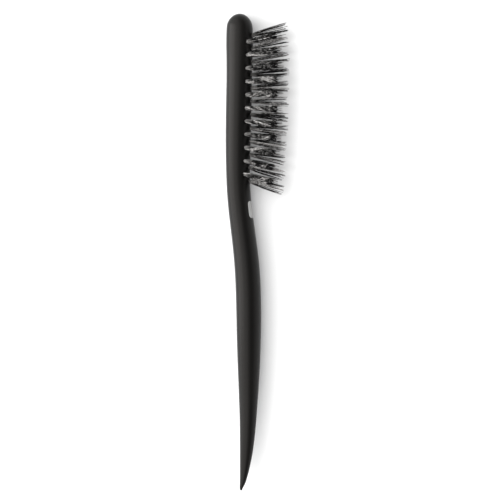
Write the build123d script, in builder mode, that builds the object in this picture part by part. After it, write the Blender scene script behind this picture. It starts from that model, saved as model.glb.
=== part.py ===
from build123d import *
import os
from math import cos, radians, sin, sqrt, tan

# Narrow dressing brush: a one-piece handle with three staggered rows of bristle tufts, each
# folded over a metal anchor and punched into its own hole. The brush lies on its right side:
# +X is the way the bristles point, +Y runs from the tail's point to the dome, and +Z is up.
# The origin is on the surface that the brush lies on, below the middle of its box.
# Left and right are as seen by someone facing the bristles with the dome at the top.

os.makedirs("parts", exist_ok=True)

# Handle, in millimetres. Distances along it are counted from the tail's point.
overall_length = 240.0
axis_x = -9.2  # the head's axis, which centres the brush's box on the origin
axis_z = 7.75  # half of the largest width, so the right side touches the surface
dome_length = 7.6
dome_angles = (75, 55, 35, 15)  # of the dome's rings, in degrees from its pole
tip_length = 0.7
tip_angles = (25, 55)  # of the tail tip's rings, in degrees from its pole

# Oval sections: distance, offset of the centre towards the bristles, half depth, half width.
tail_sections = [
    (0.7, 0.80, 0.66, 0.68),
    (2.4, 1.22, 1.12, 1.14),
    (5.0, 1.82, 1.60, 1.64),
    (10.0, 2.57, 2.27, 2.36),
    (20.0, 3.62, 3.28, 3.54),
    (35.0, 4.42, 4.12, 4.70),
    (55.0, 4.80, 5.12, 6.25),
    (75.0, 4.88, 5.88, 7.36),
    (95.0, 4.72, 6.15, 7.75),
    (115.0, 3.66, 6.10, 7.60),
    (135.0, 1.18, 5.90, 7.22),
]
head_sections = [
    (146.0, -0.10, 5.82, 7.15),
    (156.0, -0.72, 5.80, 7.35),
    (166.0, -0.84, 5.96, 7.60),
    (176.0, -0.76, 6.15, 7.75),
    (196.0, -0.41, 6.30, 7.72),
    (216.0, -0.10, 6.43, 7.60),
    (232.4, 0.00, 6.50, 7.45),
]

# Tufts. The two outer rows sit half a pitch off the middle row and lean away from it.
tuft_pitch = 6.66
first_middle_tuft = 155.8  # distance of the middle row's tuft nearest to the tail
middle_count = 12
outer_count = 11
row_spacing = 4.1
row_lean = 7.0
fan_centre = 198.0  # distance where a tuft stands square to the head
fan_head = 11.0  # degrees that the middle tuft nearest to the dome leans towards it
fan_tail = 14.5  # degrees that the middle tuft nearest to the tail leans towards it
outer_fan = 1.2  # the outer rows' fan against the middle row's
middle_length = 19.4
outer_length = 16.1
shortening = 0.7  # of a tuft whose distance is 30 from the fan's centre
outer_trim = 31.0  # degrees that the outer rows' ends slope, so that they face outwards
hole_radius = 0.95
hole_depth = 4.6
straight_length = 1.0  # of a tuft beyond the face, before it flares
middle_end_radius = 2.2
outer_end_radius = 1.6

# Anchors: flat strips that cross the holes inside the folded tufts.
anchor_width = 2.5
anchor_thickness = 0.35
anchor_height = 1.3
anchor_floor = 0.9  # bristle folded below the anchor

# Badge: a plain inlay on the face of the neck, flush with it.
badge_distance = 141.4
badge_length = 8.4
badge_width = 6.0
badge_corner = 1.6
badge_depth = 1.0


def half_oval(distance, offset, half_depth, half_width):
    """The left half of one section of the handle, square to its length."""
    centre = (axis_x + offset, distance - overall_length / 2, axis_z)
    pull = 4 / 3 * tan(radians(22.5))  # makes a cubic curve follow a quarter of an oval
    with BuildSketch(Plane(origin=centre, x_dir=(1, 0, 0), z_dir=(0, -1, 0))) as section:
        with BuildLine():
            Bezier(
                (half_depth, 0),
                (half_depth, pull * half_width),
                (pull * half_depth, half_width),
                (0, half_width),
            )
            Bezier(
                (0, half_width),
                (-pull * half_depth, half_width),
                (-half_depth, pull * half_width),
                (-half_depth, 0),
            )
            Line((-half_depth, 0), (half_depth, 0))
        make_face()
    return section.sketch


def rings(section, pole, angles):
    """The half sections of a rounded end that closes the given section at the pole."""
    distance, offset, half_depth, half_width = section
    for angle in angles:
        reach = (distance - pole) * cos(radians(angle))
        shrink = sin(radians(angle))
        yield half_oval(distance - reach, offset, half_depth * shrink, half_width * shrink)


def face_point(distance, height):
    """The point of the head's bristle face at a distance, and at a height from its axis."""
    for low, high in zip(head_sections, head_sections[1:]):
        if distance <= high[0]:
            break
    share = (distance - low[0]) / (high[0] - low[0])
    offset, half_depth, half_width = (
        low[i] + share * (high[i] - low[i]) for i in (1, 2, 3)
    )
    reach = offset + half_depth * sqrt(1 - (height / half_width) ** 2)
    return (axis_x + reach, distance - overall_length / 2, axis_z + height)


def fan_angle(distance):
    """Degrees that a tuft leans towards the dome."""
    last_middle_tuft = first_middle_tuft + (middle_count - 1) * tuft_pitch
    if distance > fan_centre:
        return fan_head * (distance - fan_centre) / (last_middle_tuft - fan_centre)
    return fan_tail * (distance - fan_centre) / (fan_centre - first_middle_tuft)


def tuft_seat(distance, side):
    """The plane at a hole's mouth, whose Z runs along the tuft and X along the anchor."""
    fan = radians(fan_angle(distance) * (outer_fan if side else 1))
    lean = radians(row_lean) * side
    along = (cos(fan) * cos(lean), sin(fan) * cos(lean), sin(lean))
    across = (-sin(fan), cos(fan), 0)
    return Plane(origin=face_point(distance, side * row_spacing), x_dir=across, z_dir=along)


def row_seats(first, count, side):
    """The seats of one row, from the tail towards the dome."""
    return [tuft_seat(first + i * tuft_pitch, side) for i in range(count)]


def tuft_length(seat, length):
    """How far a tuft reaches beyond its hole; the row is a little shorter at both ends."""
    distance = seat.origin.Y + overall_length / 2
    return length - shortening * ((distance - fan_centre) / 30) ** 2


def bundle(seat, length, end_radius, trim):
    """A tuft: straight in its hole, flared beyond the face, with a slot for its anchor."""
    profile = Plane(origin=seat.origin, x_dir=seat.x_dir, z_dir=-seat.y_dir)
    axis = Axis(seat.origin, seat.z_dir)
    longest = length + end_radius * abs(tan(radians(trim)))
    with BuildPart() as tuft:
        with BuildSketch(profile):
            with BuildLine():
                Polyline(
                    (0, -hole_depth),
                    (hole_radius, -hole_depth),
                    (hole_radius, straight_length),
                    (end_radius, longest),
                    (0, longest),
                    close=True,
                )
            make_face()
        revolve(axis=axis)
        if trim:
            cut = seat.offset(length).rotated((-trim, 0, 0))
            split(bisect_by=cut, keep=Keep.BOTTOM)
        with BuildSketch(seat.offset(anchor_floor - hole_depth)):
            Rectangle(anchor_width, anchor_thickness)
        extrude(amount=anchor_height, mode=Mode.SUBTRACT)
    return tuft.part


first_outer_tuft = first_middle_tuft + tuft_pitch / 2
seats = {
    "left": row_seats(first_outer_tuft, outer_count, 1),
    "middle": row_seats(first_middle_tuft, middle_count, 0),
    "right": row_seats(first_outer_tuft, outer_count, -1),
}
shapes = {
    "left": (outer_length, outer_end_radius, outer_trim),
    "middle": (middle_length, middle_end_radius, 0),
    "right": (outer_length, outer_end_radius, -outer_trim),
}
all_seats = [seat for row in seats.values() for seat in row]

# The handle's outer shape, before holes and recess: its left half, mirrored.
tail_point = axis_x + tail_sections[0][1]
with BuildPart() as blank:
    loft(
        sections=[
            Vertex(tail_point, -overall_length / 2, axis_z),
            *rings(tail_sections[0], 0, tip_angles),
            *[half_oval(*section) for section in tail_sections + head_sections],
            *rings(head_sections[-1], overall_length, dome_angles),
            Vertex(axis_x, overall_length / 2, axis_z),
        ]
    )
    mirror(about=Plane.XY.offset(axis_z))

# The badge's outline, on a plane below the neck's face.
badge_x = face_point(146.0, 0)[0] - badge_depth
badge_plane = Plane(
    origin=(badge_x, badge_distance - overall_length / 2, axis_z),
    x_dir=(0, 1, 0),
    z_dir=(1, 0, 0),
)

with BuildPart() as handle_body:
    add(blank.part)
    with Locations(*[seat.offset(-hole_depth) for seat in all_seats]):
        Cylinder(
            hole_radius,
            hole_depth + 2 * straight_length,
            align=(Align.CENTER, Align.CENTER, Align.MIN),
            mode=Mode.SUBTRACT,
        )
    with Locations(*[seat.offset(anchor_floor - hole_depth) for seat in all_seats]):
        Box(
            anchor_width,
            anchor_thickness,
            anchor_height,
            align=(Align.CENTER, Align.CENTER, Align.MIN),
            mode=Mode.SUBTRACT,
        )
    with BuildSketch(badge_plane):
        RectangleRounded(badge_length, badge_width, badge_corner)
    extrude(amount=3 * badge_depth, mode=Mode.SUBTRACT)
handle_body.part.label = "handle_body"
export_step(handle_body.part, "parts/handle_body.step")

with BuildPart() as badge:
    add(blank.part)
    with BuildSketch(badge_plane):
        RectangleRounded(badge_length, badge_width, badge_corner)
    extrude(amount=3 * badge_depth, mode=Mode.INTERSECT)
badge.part.label = "badge"
export_step(badge.part, "parts/badge.step")

for row, (length, end_radius, trim) in shapes.items():
    with BuildPart() as anchors:
        with Locations(*[seat.offset(anchor_floor - hole_depth) for seat in seats[row]]):
            Box(
                anchor_width,
                anchor_thickness,
                anchor_height,
                align=(Align.CENTER, Align.CENTER, Align.MIN),
            )
    anchors.part.label = f"anchors_{row}"
    export_step(anchors.part, f"parts/anchors_{row}.step")
    for number, seat in enumerate(seats[row], start=1):
        tuft = bundle(seat, tuft_length(seat, length), end_radius, trim)
        tuft.label = f"tuft_{row}_{number:02d}"
        export_step(tuft, f"parts/{tuft.label}.step")
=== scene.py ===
"""Looks of the narrow dressing brush: folded bristle strands, materials, floor, light and camera.

Everything is in metres, in the frame of the CAD model: +X is the way the bristles point,
+Y runs from the tail's point to the dome, and +Z is up from the surface that the brush
lies on. Left and right are as seen by someone facing the bristles with the dome at the top.
"""

import math
from dataclasses import dataclass

import bpy
import numpy as np
from mathutils import Matrix, Vector


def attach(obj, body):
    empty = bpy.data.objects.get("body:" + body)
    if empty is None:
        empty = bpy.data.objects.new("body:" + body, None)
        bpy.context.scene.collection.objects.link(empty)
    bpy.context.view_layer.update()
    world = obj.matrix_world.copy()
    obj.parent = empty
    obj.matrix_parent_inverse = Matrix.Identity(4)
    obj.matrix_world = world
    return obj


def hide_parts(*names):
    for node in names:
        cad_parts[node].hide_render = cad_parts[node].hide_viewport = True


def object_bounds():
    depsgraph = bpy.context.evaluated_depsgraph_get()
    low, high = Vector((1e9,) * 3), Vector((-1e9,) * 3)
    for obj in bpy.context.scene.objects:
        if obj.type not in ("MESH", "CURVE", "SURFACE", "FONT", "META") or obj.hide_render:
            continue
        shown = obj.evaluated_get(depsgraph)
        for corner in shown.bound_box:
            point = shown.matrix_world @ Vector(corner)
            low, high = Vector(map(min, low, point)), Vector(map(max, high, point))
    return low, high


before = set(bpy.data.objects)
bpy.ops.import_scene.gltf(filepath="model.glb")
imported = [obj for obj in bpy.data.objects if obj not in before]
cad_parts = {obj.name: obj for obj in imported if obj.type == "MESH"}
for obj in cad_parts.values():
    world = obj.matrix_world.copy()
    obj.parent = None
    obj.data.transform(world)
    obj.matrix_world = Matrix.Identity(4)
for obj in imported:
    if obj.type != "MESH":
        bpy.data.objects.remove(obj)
cad_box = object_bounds()

MM = 0.001

# Camera: over the brush, turned about its length towards the bristles.
CAMERA_TURN = math.radians(18)
CAMERA_LENS = 400.0
CAMERA_SENSOR = 36.0
VIEW_SPAN = 251.5 * MM  # what the square picture spans at the brush
VIEW_CENTRE = (-3.71 * MM, 1.04 * MM, 7.75 * MM)

# Seats of the tufts, as in the CAD model
HOLE_DEPTH = 4.6 * MM
HOLE_RADIUS = 0.95 * MM
ANCHOR_FLOOR = 0.9 * MM  # strands fold below the anchor
ANCHOR_HEIGHT = 1.3 * MM
ANCHOR_HALF_THICKNESS = 0.175 * MM
FACING = 0.7  # least cosine between an end's way and the faces that belong to it

# Strands
STRANDS = 15  # folded strands in a tuft, so it shows twice as many ends
STRAND_RADIUS = 0.145 * MM
SIDES = 6  # of a strand's section
LEG_POINTS = 36  # along each side of a strand, beyond the handle
FOLD_ANGLES = (30, 60, 90, 120, 150)  # of the points where a strand folds round its anchor
FOLD_POINTS = 6 + len(FOLD_ANGLES)  # of a strand inside the handle
FREE_HEIGHT = 5 * MM  # from the handle, over which a strand's twist and waves set in
END_SCATTER = 0.12 * MM  # of a strand's end
BEND_SCATTER = 0.2 * MM  # of a strand's bend
STRAY_SHARE = 0.05  # of the strands, which stray out of their tuft
STRAY_SCATTER = 0.9 * MM  # of a stray strand's end and bend
LENGTH_SCATTER = 0.025  # of a strand's length
LEAST_WORN = 0.95  # length of the least worn strand against the CAD tuft

# Shape of a whole tuft, and of its locks: the groups of strands that wave together
SPLAY_RANGE = (0.92, 1.08)  # of single tufts against their row
TUFT_LEAN = 0.2 * MM  # scatter of a tuft's end
TWIST_RANGE = (2.0, 7.0)  # turn of a crimped tuft from root to tip, in radians
CRIMPED_WAVE = (0.08, 0.16)  # radius of the waves in a crimped tuft, in millimetres
STRAIGHT_WAVE = (0.0, 0.04)  # radius of the waves in any other tuft, in millimetres
LOCKS = 6
LOCK_REACH = 0.75  # place of the locks against the tuft's radius
LOCK_WAVE_RANGE = (0.6, 1.2)  # radius of single locks' waves against their tuft's
LOCK_WAVE_LENGTH = (2.8, 4.2)  # in millimetres

# Tones and taper along a strand; a tone is 0 for the darkest nylon and 1 for the lightest, and
# tones also carry painted light and shade
LOCK_TONES = [0.0, 0.0, 0.05, 0.35, 0.75, 1.0]  # one for each lock, dealt out at random
STRAND_TONES = (-0.25, 0.25)  # of single strands against their lock
MOTTLE = 0.35  # how much the tone changes along a lock
ROOT_PAINTED_HIGHLIGHT = 0.42  # least tone of a strand where it leaves the handle: a painted highlight for the light its root catches
ROOT_SHARE = 0.2  # of a strand's length, over which the root's painted highlight fades
TIP_START = 0.82  # share of a strand's length where the painted light and shade of its tip sets in
TIP_BLEND = 0.1  # share of a strand's length over which it does so
TAPER = 0.6  # share of a strand's length, from its tip, over which it thins
END_SIZE = 0.72  # of the last ring of a strand, which softens its cut end
END_STEP = 0.3  # of that ring beyond the strand's end, in strand radii


@dataclass
class Row:
    """How the tufts of one row differ: their shape, twist, lengths and tones; the rows are of one
    nylon, so their tones differ as painted light and shade.
    """

    splay: float  # end radius of a tuft
    flare: float  # how late the tuft opens; 1 is an even cone
    clump: float  # how far its strands gather into locks
    crimped: float  # share of the tufts that are twisted and wavy
    shortest: float  # length of the most worn strand against the CAD tuft
    longest: float  # length of the longest strand against the CAD tuft
    worn: float  # share of the strands that are worn short
    tip_size: float  # thickness of a strand's tip against its root
    tone: float  # how much lighter or darker its strands are painted; between rows this is painted light and shade
    tip_painted_light_and_shade: float  # how much lighter a strand's tip is painted than the rest of it: painted light above 0, painted shade below 0


# The rows are of one nylon: their tone and tip settings are painted light and shade.
ROWS = {
    "left": Row(
        splay=1.95 * MM,
        flare=0.6,
        clump=0.5,
        crimped=0.7,
        shortest=0.8,
        longest=1.06,
        worn=0.1,
        tip_size=0.9,
        tone=-0.14,
        # painted shade: the left row's tips are painted dark
        tip_painted_light_and_shade=-1.0,
    ),
    "middle": Row(
        splay=3.2 * MM,
        flare=0.7,
        clump=0.6,
        crimped=0.0,
        shortest=0.75,
        longest=1.01,
        worn=0.35,
        tip_size=0.6,
        tone=-0.28,
        # painted light: the middle row's tips are painted a little lighter
        tip_painted_light_and_shade=0.1,
    ),
    "right": Row(
        splay=2.2 * MM,
        flare=0.8,
        clump=0.5,
        crimped=0.2,
        shortest=0.6,
        longest=1.01,
        worn=0.7,
        tip_size=0.5,
        tone=-0.2,
        # painted light: the right row's tips are painted lighter
        tip_painted_light_and_shade=0.6,
    ),
}


def principled(name):
    """A new material, with its node tree and its Principled node."""
    material = bpy.data.materials.new(name)
    material.use_nodes = True
    nodes = material.node_tree.nodes
    return material, nodes, material.node_tree.links, nodes["Principled BSDF"]


def noise(nodes, links, vector, scale, detail, roughness=0.5):
    """A noise texture that reads the given coordinates."""
    texture = nodes.new("ShaderNodeTexNoise")
    texture.inputs["Scale"].default_value = scale
    texture.inputs["Detail"].default_value = detail
    texture.inputs["Roughness"].default_value = roughness
    links.new(vector, texture.inputs["Vector"])
    return texture.outputs["Fac"]


def ramp(nodes, links, value, low, high, start=0.3, end=0.7):
    """Maps a value between start and end onto a range of colours."""
    colours = nodes.new("ShaderNodeValToRGB")
    for element, place, colour in zip(colours.color_ramp.elements, (start, end), (low, high)):
        element.position = place
        element.color = (*colour, 1)
    links.new(value, colours.inputs["Fac"])
    return colours.outputs["Color"]


def span(nodes, links, value, low, high, start=0.3, end=0.7):
    """Maps a value between start and end onto a range of numbers."""
    mapped = nodes.new("ShaderNodeMapRange")
    mapped.inputs["From Min"].default_value = start
    mapped.inputs["From Max"].default_value = end
    mapped.inputs["To Min"].default_value = low
    mapped.inputs["To Max"].default_value = high
    links.new(value, mapped.inputs["Value"])
    return mapped.outputs["Result"]


def bump(nodes, links, height, distance, strength, normal=None):
    """A bump of the given height, stacked on another one if that is given."""
    node = nodes.new("ShaderNodeBump")
    node.inputs["Distance"].default_value = distance
    node.inputs["Strength"].default_value = strength
    links.new(height, node.inputs["Height"])
    if normal is not None:
        links.new(normal, node.inputs["Normal"])
    return node.outputs["Normal"]


def handle_material():
    """Satin black moulding: a fine even grain and faint flow marks."""
    material, nodes, links, shader = principled("satin_black_moulding")
    place = nodes.new("ShaderNodeTexCoord").outputs["Object"]
    stretched = nodes.new("ShaderNodeMapping")
    stretched.inputs["Scale"].default_value = (1.0, 0.12, 1.0)
    links.new(place, stretched.inputs["Vector"])
    grain = noise(nodes, links, place, 2600, 3, 0.6)
    cloud = noise(nodes, links, place, 45, 3)
    flow = noise(nodes, links, stretched.outputs["Vector"], 320, 4)
    colour = ramp(nodes, links, cloud, (0.0008, 0.0008, 0.0007), (0.0015, 0.0014, 0.0013))
    links.new(colour, shader.inputs["Base Color"])
    links.new(span(nodes, links, flow, 0.30, 0.38), shader.inputs["Roughness"])
    fine = bump(nodes, links, grain, 0.02 * MM, 0.35)
    links.new(bump(nodes, links, flow, 0.02 * MM, 0.25, fine), shader.inputs["Normal"])
    shader.inputs["Specular IOR Level"].default_value = 0.135
    shader.inputs["Specular Tint"].default_value = (1.0, 0.955, 0.92, 1)
    return material


def bristle_material():
    """Glossy black nylon whose strands differ a little in tone, with faint drawing lines; the
    tone also carries painted highlights at the roots and painted light and shade at the tips and
    cut ends.
    """
    material, nodes, links, shader = principled("black_nylon")
    tone = nodes.new("ShaderNodeAttribute")
    tone.attribute_name = "tone"
    place = nodes.new("ShaderNodeTexCoord").outputs["Object"]
    lines = noise(nodes, links, place, 5200, 2)
    colour = ramp(
        nodes, links, tone.outputs["Fac"], (0.002, 0.002, 0.002), (0.16, 0.155, 0.15), 0.0, 1.0
    )
    links.new(colour, shader.inputs["Base Color"])
    gloss = span(nodes, links, tone.outputs["Fac"], 0.02, 1.0, 0.0, 1.0)
    links.new(gloss, shader.inputs["Specular IOR Level"])
    links.new(span(nodes, links, lines, 0.18, 0.28), shader.inputs["Roughness"])
    links.new(bump(nodes, links, lines, 0.01 * MM, 0.3), shader.inputs["Normal"])
    shader.inputs["IOR"].default_value = 1.6
    shader.inputs["Specular Tint"].default_value = (1.0, 0.97, 0.945, 1)
    return material


def badge_material():
    """Satin light grey inlay with a fine brushed grain."""
    material, nodes, links, shader = principled("satin_grey_inlay")
    place = nodes.new("ShaderNodeTexCoord").outputs["Object"]
    stretched = nodes.new("ShaderNodeMapping")
    stretched.inputs["Scale"].default_value = (1.0, 0.08, 1.0)
    links.new(place, stretched.inputs["Vector"])
    grain = noise(nodes, links, stretched.outputs["Vector"], 2400, 3)
    colour = ramp(nodes, links, grain, (0.26, 0.26, 0.255), (0.34, 0.34, 0.335))
    links.new(colour, shader.inputs["Base Color"])
    links.new(span(nodes, links, grain, 0.36, 0.50), shader.inputs["Roughness"])
    links.new(bump(nodes, links, grain, 0.01 * MM, 0.3), shader.inputs["Normal"])
    return material


def anchor_material():
    """Flat drawn brass wire with faint drawing marks."""
    material, nodes, links, shader = principled("drawn_brass")
    place = nodes.new("ShaderNodeTexCoord").outputs["Object"]
    marks = noise(nodes, links, place, 1800, 3)
    colour = ramp(nodes, links, marks, (0.50, 0.36, 0.15), (0.62, 0.46, 0.20))
    links.new(colour, shader.inputs["Base Color"])
    shader.inputs["Metallic"].default_value = 1.0
    links.new(span(nodes, links, marks, 0.30, 0.42), shader.inputs["Roughness"])
    links.new(bump(nodes, links, marks, 0.01 * MM, 0.3), shader.inputs["Normal"])
    return material


def flat_end(mesh, way, reach):
    """Centre and direction of a CAD tuft's flat end that faces a way, within a reach of it."""
    count = len(mesh.polygons)
    centres, normals = np.empty(3 * count), np.empty(3 * count)
    areas = np.empty(count)
    mesh.polygons.foreach_get("center", centres)
    mesh.polygons.foreach_get("normal", normals)
    mesh.polygons.foreach_get("area", areas)
    centres, normals = centres.reshape(-1, 3), normals.reshape(-1, 3)
    height = centres @ way
    chosen = (normals @ way > FACING) & (height > height.max() - reach)
    normal = np.average(normals[chosen], axis=0, weights=areas[chosen])
    centre = np.average(centres[chosen], axis=0, weights=areas[chosen])
    return centre, normal / np.linalg.norm(normal)


def half_disc(count, radius, random):
    """Evenly spread places on one half of a disc, as (across, beside) pairs."""
    golden_angle = math.pi * (3 - math.sqrt(5))
    start = random.uniform(0, 2 * math.pi)
    places = []
    i = 0
    while len(places) < count:
        reach = radius * math.sqrt((i % (2 * count) + 0.5) / (2 * count))
        across = reach * math.cos(start + i * golden_angle)
        beside = reach * math.sin(start + i * golden_angle)
        if beside > 0:
            places.append((across, beside))
        i += 1
    return places


class Tuft:
    """What the strands of one tuft share: its axes, trimmed end, spread, twist and locks."""

    def __init__(self, node, row, random):
        self.row = row
        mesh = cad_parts[node].data
        bottom, back = flat_end(mesh, np.array([-1.0, 0, 0]), 1 * MM)
        self.along = -back
        self.across = np.array([back[1], -back[0], 0.0])
        self.across /= np.linalg.norm(self.across)
        self.beside = np.cross(self.along, self.across)
        self.mouth = bottom + HOLE_DEPTH * self.along
        end, facing = flat_end(mesh, self.along, 5 * MM)
        slope = facing @ self.along
        self.length = (end - self.mouth) @ facing / slope
        self.trim = -np.array([facing @ self.across, facing @ self.beside]) / slope
        self.splay = row.splay * random.uniform(*SPLAY_RANGE)
        self.lean = random.normal(0, TUFT_LEAN, 2)
        crimped = random.random() < row.crimped
        self.twist = random.uniform(*TWIST_RANGE) * random.choice((-1, 1)) if crimped else 0.0
        wave = random.uniform(*(CRIMPED_WAVE if crimped else STRAIGHT_WAVE))
        turns = random.uniform(0, 2 * math.pi) + np.arange(LOCKS) * 2 * math.pi / LOCKS
        self.lock_places = LOCK_REACH * np.stack([np.cos(turns), np.sin(turns)], axis=1)
        self.lock_waves = wave * MM * random.uniform(*LOCK_WAVE_RANGE, LOCKS)
        self.lock_wave_lengths = random.uniform(*LOCK_WAVE_LENGTH, LOCKS) * MM
        self.lock_phases = random.uniform(0, 2 * math.pi, LOCKS)
        lock_tones = random.permutation(LOCK_TONES)
        self.lock_tones = lock_tones[:, None] + random.normal(0, MOTTLE, (LOCKS, LEG_POINTS))


def seated(place):
    """The points of one side of a strand inside the handle, down to its anchor's foot."""
    inner = HOLE_RADIUS - STRAND_RADIUS
    # Beside the anchor the strand is pushed outwards, against the wall of its hole.
    clear = ANCHOR_HALF_THICKNESS + STRAND_RADIUS
    pushed = clear + abs(place[1]) * (inner - clear) / inner
    room = math.sqrt(max(inner**2 - pushed**2, 0))
    beside = np.array([max(-room, min(room, place[0])), math.copysign(pushed, place[1])])
    anchor_foot = ANCHOR_FLOOR - HOLE_DEPTH
    anchor_head = anchor_foot + ANCHOR_HEIGHT
    # The first point is about half way between the hole's mouth and the anchor.
    return np.array(
        [
            (*(0.5 * (np.array(place) + beside)), 0.45 * anchor_head),
            (*beside, anchor_head),
            (*beside, anchor_foot),
        ]
    )


def leg(tuft, place, random):
    """One side of a folded strand from its tip down to the anchor's foot, in tuft axes."""
    mouth = np.array(place)
    share_out = mouth / (HOLE_RADIUS - STRAND_RADIUS)
    lock = int(np.argmin(np.linalg.norm(tuft.lock_places - share_out, axis=1)))
    gathered = share_out + tuft.row.clump * (tuft.lock_places[lock] - share_out)
    spread = gathered * tuft.splay + random.normal(0, END_SCATTER, 2) + tuft.lean
    bend = random.normal(0, BEND_SCATTER, 2)
    if random.random() < STRAY_SHARE:
        spread = spread + random.normal(0, STRAY_SCATTER, 2)
        bend = random.normal(0, STRAY_SCATTER, 2)
    tip = tuft.length * (tuft.row.longest - abs(random.normal(0, LENGTH_SCATTER)))
    if random.random() < tuft.row.worn:
        tip = tuft.length * random.uniform(tuft.row.shortest, LEAST_WORN)
    tip = tip + tuft.trim @ spread
    height = np.linspace(tip, 0, LEG_POINTS)
    share = height / tuft.length
    offset = mouth + (spread - mouth) * share[:, None] ** tuft.row.flare
    offset = offset + bend * (share * (1 - share) * 2)[:, None]
    free = np.minimum(1, height / FREE_HEIGHT)
    angle = tuft.twist * share * free
    turned = np.stack(
        [
            offset[:, 0] * np.cos(angle) - offset[:, 1] * np.sin(angle),
            offset[:, 0] * np.sin(angle) + offset[:, 1] * np.cos(angle),
        ],
        axis=1,
    )
    phase = tuft.lock_phases[lock] + 2 * math.pi * height / tuft.lock_wave_lengths[lock]
    wave = tuft.lock_waves[lock] * free
    turned[:, 0] += wave * np.cos(phase)
    turned[:, 1] += wave * np.sin(phase)
    beyond = np.column_stack([turned, height])
    return np.concatenate([beyond, seated(place)]), lock


def strand(tuft, place, random):
    """A whole folded strand from tip to tip, round the anchor's foot, in tuft axes."""
    down, lock = leg(tuft, place, random)
    up, _ = leg(tuft, (place[0], -place[1]), random)
    across, beside, foot = down[-1]
    radius = min(beside, ANCHOR_FLOOR - STRAND_RADIUS)
    fold = []
    for angle in FOLD_ANGLES:
        turn = math.radians(angle)
        fold.append((across, beside * math.cos(turn), foot - radius * math.sin(turn)))
    return np.concatenate([down, fold, up[::-1]]), lock


def strand_sizes(row):
    """Radii along a folded strand, which thins towards both of its tips."""
    share = np.linspace(1, 0, LEG_POINTS)
    thinned = np.maximum(0, (share - 1 + TAPER) / TAPER)
    side = STRAND_RADIUS * (1 - (1 - row.tip_size) * thinned)
    return np.concatenate([side, np.full(FOLD_POINTS, STRAND_RADIUS), side[::-1]])


def strand_tones(row, shades):
    """Tones along a folded strand: its root is painted lighter, as a painted highlight, and its
    tips carry their row's painted light and shade.
    """
    share = np.linspace(1, 0, LEG_POINTS)
    tip = np.clip((share - TIP_START) / TIP_BLEND, 0, 1)
    root = np.clip(1 - share / ROOT_SHARE, 0, 1)
    # Painted light and shade at the tip, as the row sets it.
    side = np.clip(shades + row.tip_painted_light_and_shade * tip, 0, 1)
    # Painted highlight: the root is lifted to a least tone.
    side = side + root * np.maximum(0, ROOT_PAINTED_HIGHLIGHT - side)
    return np.concatenate([side, np.full(FOLD_POINTS, side[-1]), side[::-1]])


def tubes(lines, sizes, way):
    """Round tubes with closed, softened ends along lines of equal length: points and faces."""
    count, rings = lines.shape[:2]
    tangent = np.gradient(lines, axis=1)
    tangent /= np.linalg.norm(tangent, axis=2, keepdims=True)
    first = way - (tangent @ way)[..., None] * tangent
    first /= np.linalg.norm(first, axis=2, keepdims=True)
    second = np.cross(tangent, first)
    # Each end has one more, smaller ring just beyond it, and a point at its middle.
    size = np.concatenate([END_SIZE * sizes[:1], sizes, END_SIZE * sizes[-1:]])
    step = END_STEP * sizes[0]
    before = lines[:, :1] - step * tangent[:, :1]
    after = lines[:, -1:] + step * tangent[:, -1:]
    centre = np.concatenate([before, lines, after], axis=1)
    widen = [0, *range(rings), rings - 1]
    first, second = first[:, widen], second[:, widen]
    angle = np.linspace(0, 2 * math.pi, SIDES, endpoint=False)[:, None]
    ring = first[:, :, None] * np.cos(angle) + second[:, :, None] * np.sin(angle)
    skin = centre[:, :, None] + size[:, None, None] * ring
    ends = np.stack([centre[:, 0], centre[:, -1]], axis=1)
    points = np.concatenate([skin.reshape(count, -1, 3), ends], axis=1)
    total = points.shape[1]
    corner = np.arange(SIDES)
    following = np.roll(corner, -1)
    rows = SIDES * np.arange(rings + 1)[:, None]
    quads = np.stack(
        [rows + corner, rows + following, rows + SIDES + following, rows + SIDES + corner], axis=2
    ).reshape(-1, 4)
    last = SIDES * (rings + 1)
    first_cap = np.stack([np.full(SIDES, total - 2), following, corner], axis=1)
    last_cap = np.stack([np.full(SIDES, total - 1), last + corner, last + following], axis=1)
    offset = total * np.arange(count)[:, None, None]
    faces = (quads + offset).reshape(-1, 4).tolist()
    faces += (np.concatenate([first_cap, last_cap]) + offset).reshape(-1, 3).tolist()
    return points, faces


def bristle_tuft(row, number, material):
    """The strands of one tuft, which stand for its CAD node."""
    node = f"tuft_{row}_{number:02d}"
    # The seed is different for each tuft, as the rows' names differ in length.
    random = np.random.default_rng([len(row), number])
    tuft = Tuft(node, ROWS[row], random)
    lines, tones = [], []
    for place in half_disc(STRANDS, HOLE_RADIUS - STRAND_RADIUS, random):
        line, lock = strand(tuft, place, random)
        lines.append(line)
        shades = tuft.lock_tones[lock] + tuft.row.tone + random.uniform(*STRAND_TONES)
        tones.append(strand_tones(tuft.row, shades))
    world = tuft.mouth + np.array(lines) @ np.stack([tuft.across, tuft.beside, tuft.along])
    # A strand that reaches the surface lies on it.
    world[..., 2] = np.maximum(world[..., 2], STRAND_RADIUS)
    points, faces = tubes(world, strand_sizes(tuft.row), tuft.across)
    mesh = bpy.data.meshes.new(node)
    mesh.from_pydata(points.reshape(-1, 3).tolist(), [], faces)
    mesh.polygons.foreach_set("use_smooth", np.ones(len(mesh.polygons), bool))
    # Every ring of points has its place's tone, and the cut ends are painted darkest, as painted
    # shade.
    rings = np.pad(np.array(tones), ((0, 0), (1, 1)), mode="edge")
    tone = np.pad(np.repeat(rings, SIDES, axis=1), ((0, 0), (0, 2)))
    mesh.attributes.new("tone", "FLOAT", "POINT").data.foreach_set("value", tone.ravel())
    mesh.materials.append(material)
    piece = bpy.data.objects.new(f"bristles_{row}_{number:02d}", mesh)
    bpy.context.scene.collection.objects.link(piece)
    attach(piece, "root")
    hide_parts(node)


def finish_cad_node(node, material):
    """Gives a CAD node that stays in view its finished material."""
    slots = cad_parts[node].data.materials
    slots.clear()
    slots.append(material)


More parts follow.
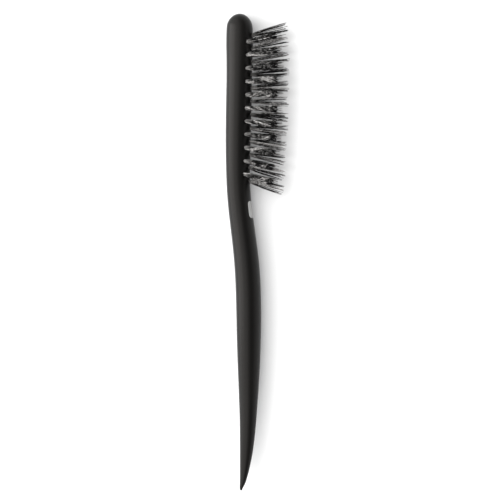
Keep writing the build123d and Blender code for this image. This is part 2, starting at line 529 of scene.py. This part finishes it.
def area_light(name, place, aim, size, power):
    """A soft white rectangular light at a place, turned to a point."""
    data = bpy.data.lights.new(name, "AREA")
    data.shape = "RECTANGLE"
    data.size, data.size_y = size
    data.energy = power
    light = bpy.data.objects.new(name, data)
    light.location = place
    light.rotation_euler = (Vector(aim) - Vector(place)).to_track_quat("-Z", "Y").to_euler()
    bpy.context.scene.collection.objects.link(light)


def floor():
    """A plain pale surface, faintly lit from below and wide enough for every view."""
    material, nodes, links, shader = principled("pale_floor")
    place = nodes.new("ShaderNodeTexCoord").outputs["Object"]
    colour = ramp(
        nodes, links, noise(nodes, links, place, 3, 2), (0.40, 0.40, 0.40), (0.42, 0.42, 0.42)
    )
    links.new(colour, shader.inputs["Base Color"])
    shader.inputs["Roughness"].default_value = 0.85
    shader.inputs["Specular IOR Level"].default_value = 0.1
    shader.inputs["Emission Color"].default_value = (1, 1, 1, 1)
    shader.inputs["Emission Strength"].default_value = 0.15
    half = 4.0
    mesh = bpy.data.meshes.new("floor")
    corners = [(-half, -half, 0), (half, -half, 0), (half, half, 0), (-half, half, 0)]
    mesh.from_pydata(corners, [], [(0, 1, 2, 3)])
    mesh.materials.append(material)
    plane = bpy.data.objects.new("floor", mesh)
    plane.location.z = cad_box[0].z - 0.02 * MM
    bpy.context.scene.collection.objects.link(plane)


def studio():
    """A tall softbox on the handle's side and a pale sky that darkens away from it."""
    area_light(
        "softbox", place=(-0.85, 0.28, 0.68), aim=(0, 0.28, 0), size=(0.72, 1.43), power=12.5
    )
    world = bpy.data.worlds.new("studio")
    world.use_nodes = True
    nodes, links = world.node_tree.nodes, world.node_tree.links
    facing = nodes.new("ShaderNodeVectorMath")
    facing.operation = "DOT_PRODUCT"
    facing.inputs[1].default_value = (-0.77, 0, 0.64)
    links.new(nodes.new("ShaderNodeTexCoord").outputs["Generated"], facing.inputs[0])
    glow = span(nodes, links, facing.outputs["Value"], 0.6, 3.4, -0.2, 0.5)
    links.new(glow, nodes["Background"].inputs["Strength"])
    nodes["Background"].inputs["Color"].default_value = (1, 1, 1, 1)
    bpy.context.scene.world = world


def camera():
    """Looks down on the brush, with the dome at the top of the picture."""
    data = bpy.data.cameras.new("camera")
    data.lens = CAMERA_LENS
    data.sensor_width = CAMERA_SENSOR
    data.clip_start = 0.01
    data.clip_end = 20
    eye = bpy.data.objects.new("camera", data)
    back = Vector((math.sin(CAMERA_TURN), 0, math.cos(CAMERA_TURN)))
    up = Vector((0, 1, 0))
    side = up.cross(back)
    distance = VIEW_SPAN * CAMERA_LENS / CAMERA_SENSOR
    turned = Matrix((side, up, back)).transposed().to_4x4()
    eye.matrix_world = Matrix.Translation(Vector(VIEW_CENTRE) + distance * back) @ turned
    bpy.context.scene.collection.objects.link(eye)
    bpy.context.scene.camera = eye


camera()
floor()
studio()
finish_cad_node("handle_body", handle_material())
finish_cad_node("badge", badge_material())
brass = anchor_material()
nylon = bristle_material()
for row in ROWS:
    finish_cad_node(f"anchors_{row}", brass)
    tufts = [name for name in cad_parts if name.startswith(f"tuft_{row}_")]
    for number in range(1, len(tufts) + 1):
        bristle_tuft(row, number, nylon)
bpy.context.scene.view_settings.view_transform = "Standard"
